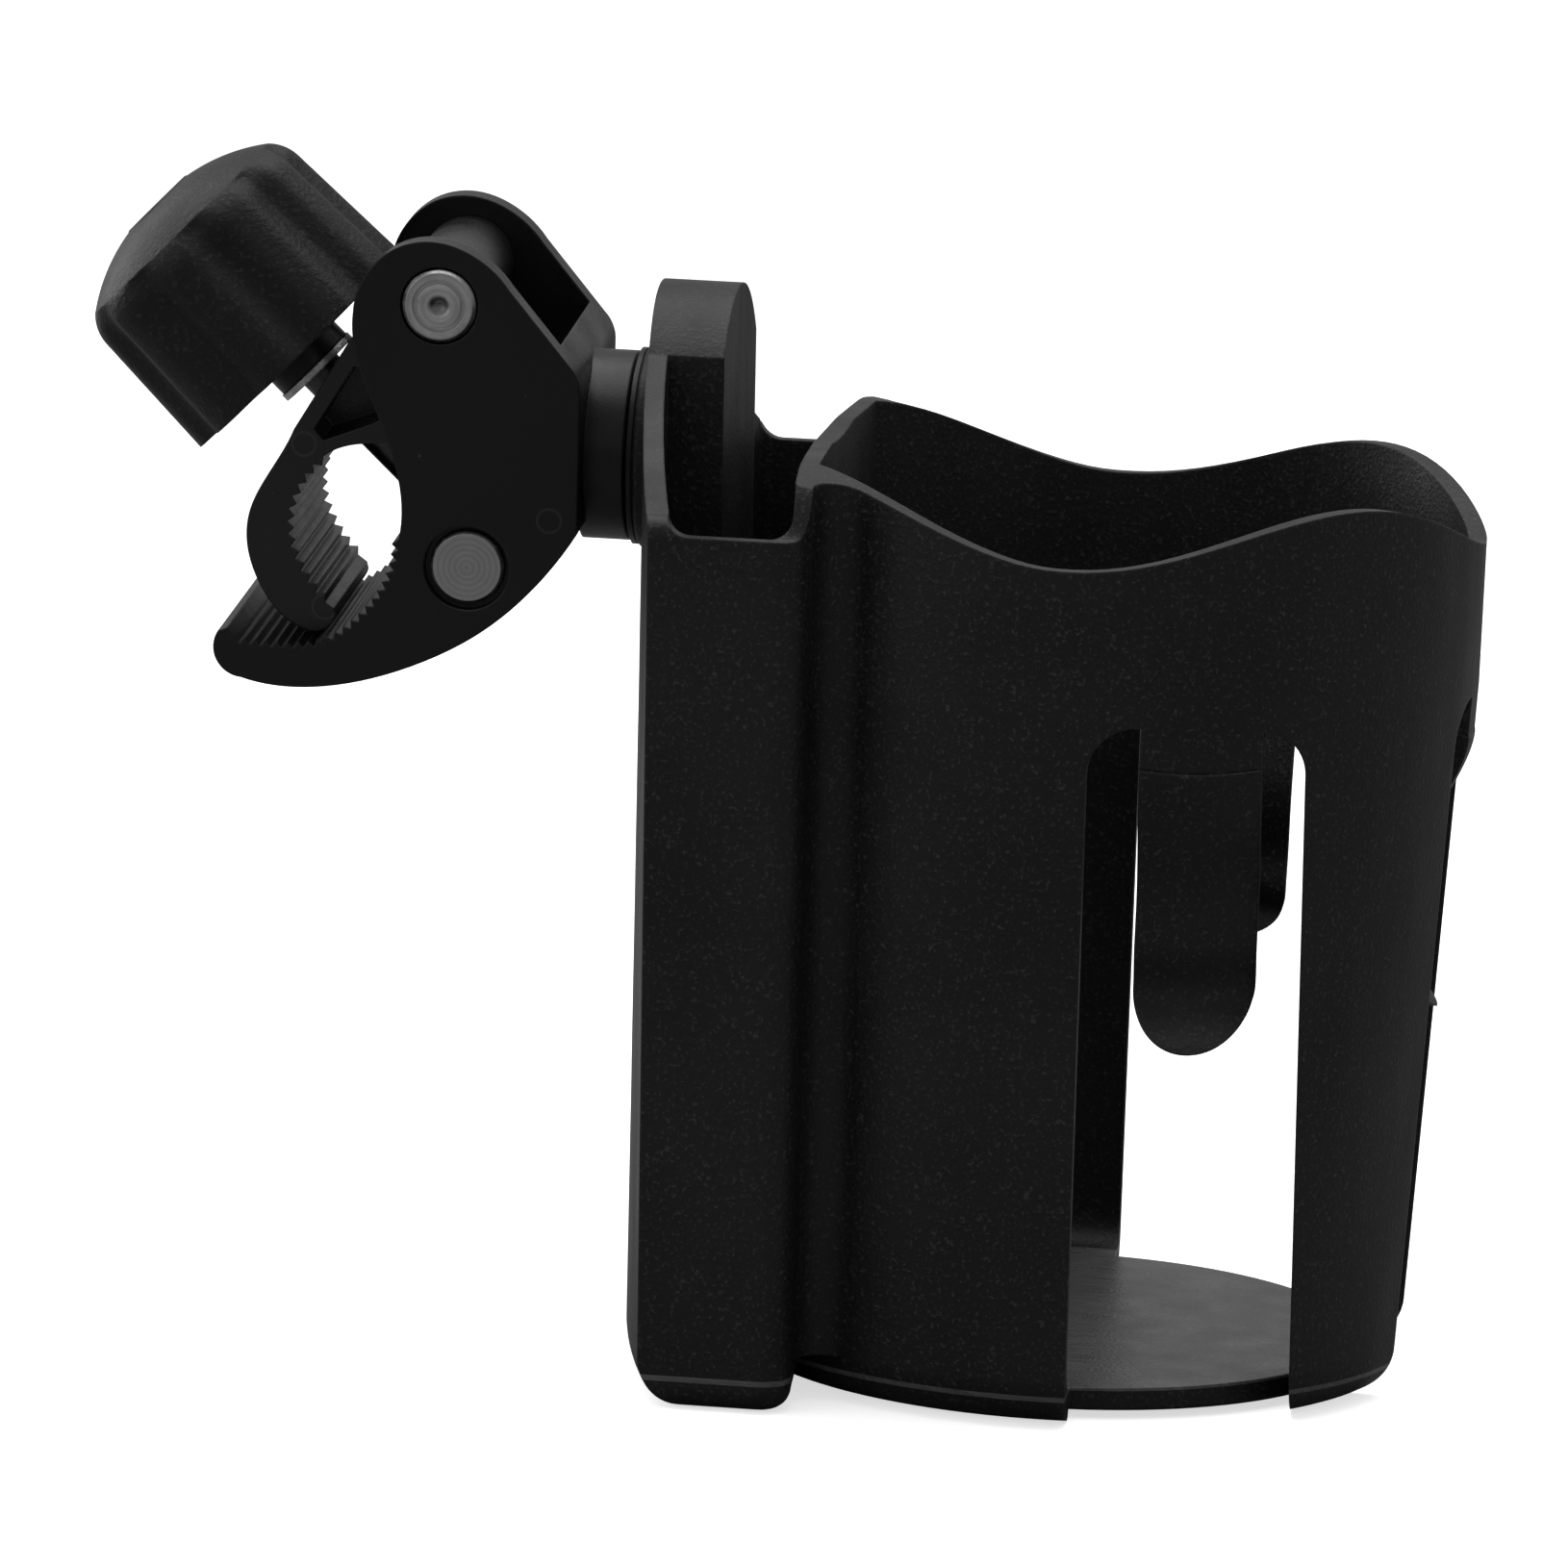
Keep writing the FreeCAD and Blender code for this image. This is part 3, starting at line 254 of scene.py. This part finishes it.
def turned_steel(name, joint, level, dark, ring_pitch, ring_height, dimple):
    """Steel end faces with turned rings about a joint's axis and brushed sides.

    dark is the share of level left in the dull blotches, dimple the strength of the painted shade in the
    dark centre.
    """
    g = Graph(name)
    axis, centre = Vector(JOINTS[joint]["axis"]), Vector(JOINTS[joint]["pos_m"])
    radius = g.distance_from_axis(centre, axis)
    wobble = g.math("MULTIPLY", g.noise(3.0 * MM, 2.0), ring_pitch * 0.15)
    phase = g.math("MULTIPLY", g.math("ADD", radius, wobble), 2.0 * math.pi / ring_pitch)
    rings = g.math("SINE", phase)
    blotches = g.noise(2.4 * MM, 4.0, 0.6)
    scratches = g.noise(0.4 * MM, 3.0, 0.6, g.stretched((1.0, 0.12, 1.0)))

    colour = g.mix(g.spread(blotches, 0.35, 0.68), grey(level * dark), grey(level))
    colour = g.mix(g.spread(rings, -1.0, 1.0, 0.0, 0.30), colour, grey(level * 0.45))
    # painted shade darkens the dimple at the centre of the end face
    dimple_painted_shade = g.spread(radius, DIMPLE_FLOOR, DIMPLE_LIP, dimple, 0.0)
    colour = g.mix(dimple_painted_shade, colour, grey(level * 0.08))
    rough = g.math("ADD", g.spread(blotches, 0.3, 0.7, 0.30, 0.48),
                   g.spread(scratches, 0.35, 0.65, -0.06, 0.08), clamp=True)
    g.set("Base Color", colour)
    g.set("Metallic", 1.0)
    g.set("Roughness", rough)
    g.set("Anisotropic", 0.4)
    ringed = g.bump(rings, ring_height, 0.8, g.rounded_normal(STEEL_EDGE_RADIUS))
    g.set("Normal", g.bump(scratches, SCRATCH_DEPTH, 0.6, ringed))
    return g.material


def plated_steel(name, level):
    """Zinc-plated hardware: finely mottled and scuffed."""
    g = Graph(name)
    mottle = g.noise(1.2 * MM, 4.0, 0.6)
    scuffs = g.noise(0.3 * MM, 2.0, 0.6, g.stretched((1.0, 0.2, 1.0)))
    g.set("Base Color", g.mix(g.spread(mottle, 0.35, 0.65), grey(level * 0.75, 0.04), grey(level, 0.02)))
    g.set("Metallic", 1.0)
    g.set("Roughness", g.spread(scuffs, 0.3, 0.7, 0.22, 0.42))
    g.set("Normal", g.bump(scuffs, SCRATCH_DEPTH, 0.7, g.rounded_normal(0.2 * MM)))
    return g.material


# ------------------------------------------------------------- dressing nodes
PLATE_Z = MOUNTS["cup_floor"]["pos_m"][2]
BODY_MARKS = [clamp_point(12.4, -23.1)]
JAW_MARKS = [clamp_point(-15.1, -16.8), clamp_point(-12.6, -34.9)]

# the edge levels below are worn-edge greys lifted to paint a highlight along the edges
MATERIALS = {
    "holder_plastic": moulded_plastic(
        "holder_plastic", level=0.0072, roughness=0.46, grain=0.46 * MM, grain_height=0.080 * MM,
        edge_radius=0.40 * MM, edge_wear_highlight_level=0.070, speckle=0.9, plate=PLATE_Z),
    "clamp_plastic": moulded_plastic(
        "clamp_plastic", level=0.0032, roughness=0.36, grain=0.36 * MM, grain_height=0.016 * MM,
        edge_radius=0.35 * MM, edge_wear_highlight_level=0.045, specular=0.30, marks=BODY_MARKS),
    "jaw_plastic": moulded_plastic(
        "jaw_plastic", level=0.0032, roughness=0.29, grain=0.36 * MM, grain_height=0.016 * MM,
        edge_radius=0.35 * MM, edge_wear_highlight_level=0.045, specular=0.42, marks=JAW_MARKS),
    "knob_plastic": moulded_plastic(
        "knob_plastic", level=0.0070, roughness=0.50, grain=0.58 * MM, grain_height=0.120 * MM,
        edge_radius=0.45 * MM, edge_wear_highlight_level=0.040, specular=0.22, speckle=0.6),
    "collar_plastic": moulded_plastic(
        "collar_plastic", level=0.0040, roughness=0.36, grain=0.40 * MM, grain_height=0.010 * MM,
        edge_radius=0.25 * MM, edge_wear_highlight_level=0.03),
    "pivot_steel": turned_steel(
        "pivot_steel", "jaw_pivot", level=0.52, dark=0.80, ring_pitch=0.85 * MM,
        ring_height=0.030 * MM, dimple=0.65),
    "nut_steel": turned_steel(
        "nut_steel", "nut_swing", level=0.38, dark=0.9, ring_pitch=0.62 * MM,
        ring_height=0.006 * MM, dimple=0.0),
    "zinc_steel": plated_steel("zinc_steel", level=0.40),
    "screw_steel": plated_steel("screw_steel", level=0.06),
}

# Nodes whose finish is finer than their slot in the record; the others take their slot's material.
NODE_MATERIALS = {
    "jaw_pivot_pin": "pivot_steel",
    "barrel_nut": "nut_steel",
    "moving_jaw": "jaw_plastic",
    "clamp_screw": "screw_steel",
}


def dress_frame():
    """Give every CAD node its finished material."""
    slots = {part["node"]: part["material_slot"] for part in frame["record"]["subparts"]}
    for node, piece in frame["nodes"].items():
        name = NODE_MATERIALS.get(node, slots[node])
        piece.data.materials.clear()
        piece.data.materials.append(MATERIALS[name])


# ---------------------------------------------------------------------- stage
FLOOR_REACH = 12.0
FLOOR_GAP = 0.1 * MM            # keeps the floor just clear of the object's underside
FLOOR_BOUNCE = 0.24             # the floor's grey for all but camera rays
FLOOR_GLOW = 0.65               # the floor's own light, for camera rays only
WORLD_STRENGTH = 0.42

# Area lights: name, place from the object's middle, width and height in metres, watts.
LIGHTS = (
    ("top_softbox", (-0.05, 0.15, 0.85), 1.1, 0.9, 8.0),
    ("left_rim", (-0.75, 0.45, 0.35), 0.25, 0.9, 3.5),
    ("right_rim", (0.75, 0.10, 0.60), 0.25, 0.9, 0.4),
    ("left_fill", (-0.85, -0.50, 0.30), 0.5, 0.9, 1.0),
)

VIEW_AZIMUTH, VIEW_ELEVATION, VIEW_ROLL = 6.25, 9.68, -2.35
VIEW_DISTANCE = 0.9288
VIEW_TARGET = Vector((-0.0335, 0.0, 0.05795))
LENS_MM, SENSOR_MM = 193.9, 36.0


def floor_material():
    """Pale studio sweep with a faint tooth, kept dim in reflections so black stays black."""
    g = Graph("studio_floor")
    seen = g.tree.nodes.new("ShaderNodeLightPath").outputs["Is Camera Ray"]
    pale = g.mix(g.spread(g.noise(0.35, 3.0), 0.3, 0.7), grey(0.86), grey(0.90))
    g.set("Base Color", g.mix(seen, grey(FLOOR_BOUNCE), pale))
    g.set("Roughness", g.spread(g.noise(10.0 * MM), 0.3, 0.7, 0.7, 0.85))
    g.set("Specular IOR Level", 0.1)
    g.set("Normal", g.bump(g.noise(2.0 * MM), 0.1 * MM, 0.2))
    g.set("Emission Color", grey(1.0))
    g.set("Emission Strength", g.math("MULTIPLY", seen, FLOOR_GLOW))
    return g.material


def make_floor():
    level = cad_low[2] - FLOOR_GAP
    turns = ((-1, -1), (1, -1), (1, 1), (-1, 1))
    corners = [(FLOOR_REACH * x, FLOOR_REACH * y, level) for x, y in turns]
    mesh = bpy.data.meshes.new("floor")
    mesh.from_pydata(corners, [], [(0, 1, 2, 3)])
    mesh.materials.append(floor_material())
    floor = bpy.data.objects.new("floor", mesh)
    bpy.context.scene.collection.objects.link(floor)


def make_world():
    world = bpy.data.worlds.new("studio")
    world.use_nodes = True
    background = world.node_tree.nodes["Background"]
    background.inputs["Color"].default_value = grey(1.0)
    background.inputs["Strength"].default_value = WORLD_STRENGTH
    bpy.context.scene.world = world


def soft_light(name, place, target, width, height, watts):
    """A rectangular area light at place that faces target."""
    light = bpy.data.lights.new(name, "AREA")
    light.shape = "RECTANGLE"
    light.size = width
    light.size_y = height
    light.energy = watts
    lamp = bpy.data.objects.new(name, light)
    lamp.location = place
    lamp.rotation_euler = (target - place).to_track_quat("-Z", "Y").to_euler()
    bpy.context.scene.collection.objects.link(lamp)


def make_camera():
    """Camera that looks at VIEW_TARGET from an azimuth and elevation, rolled about its own axis."""
    azimuth, elevation = math.radians(VIEW_AZIMUTH), math.radians(VIEW_ELEVATION)
    roll = math.radians(VIEW_ROLL)
    back = Vector((math.sin(azimuth) * math.cos(elevation),
                   -math.cos(azimuth) * math.cos(elevation),
                   math.sin(elevation)))
    level_right = Vector((math.cos(azimuth), math.sin(azimuth), 0.0))
    level_up = back.cross(level_right)
    right = level_right * math.cos(roll) - level_up * math.sin(roll)
    up = level_right * math.sin(roll) + level_up * math.cos(roll)
    rotation = Matrix((right, up, back)).transposed()
    camera = bpy.data.cameras.new("camera")
    camera.lens = LENS_MM
    camera.sensor_width = SENSOR_MM
    camera.clip_start = 0.01
    camera.clip_end = 50.0
    view = bpy.data.objects.new("camera", camera)
    view.matrix_world = Matrix.Translation(VIEW_TARGET + back * VIEW_DISTANCE) @ rotation.to_4x4()
    bpy.context.scene.collection.objects.link(view)
    bpy.context.scene.camera = view


def make_stage():
    middle = Vector(((cad_low[0] + cad_high[0]) / 2, 0.0, (cad_low[2] + cad_high[2]) / 2))
    make_floor()
    make_world()
    for name, offset, width, height, watts in LIGHTS:
        soft_light(name, middle + Vector(offset), middle, width, height, watts)
    bpy.context.scene.view_settings.view_transform = "Standard"
    make_camera()


dress_frame()
make_stage()
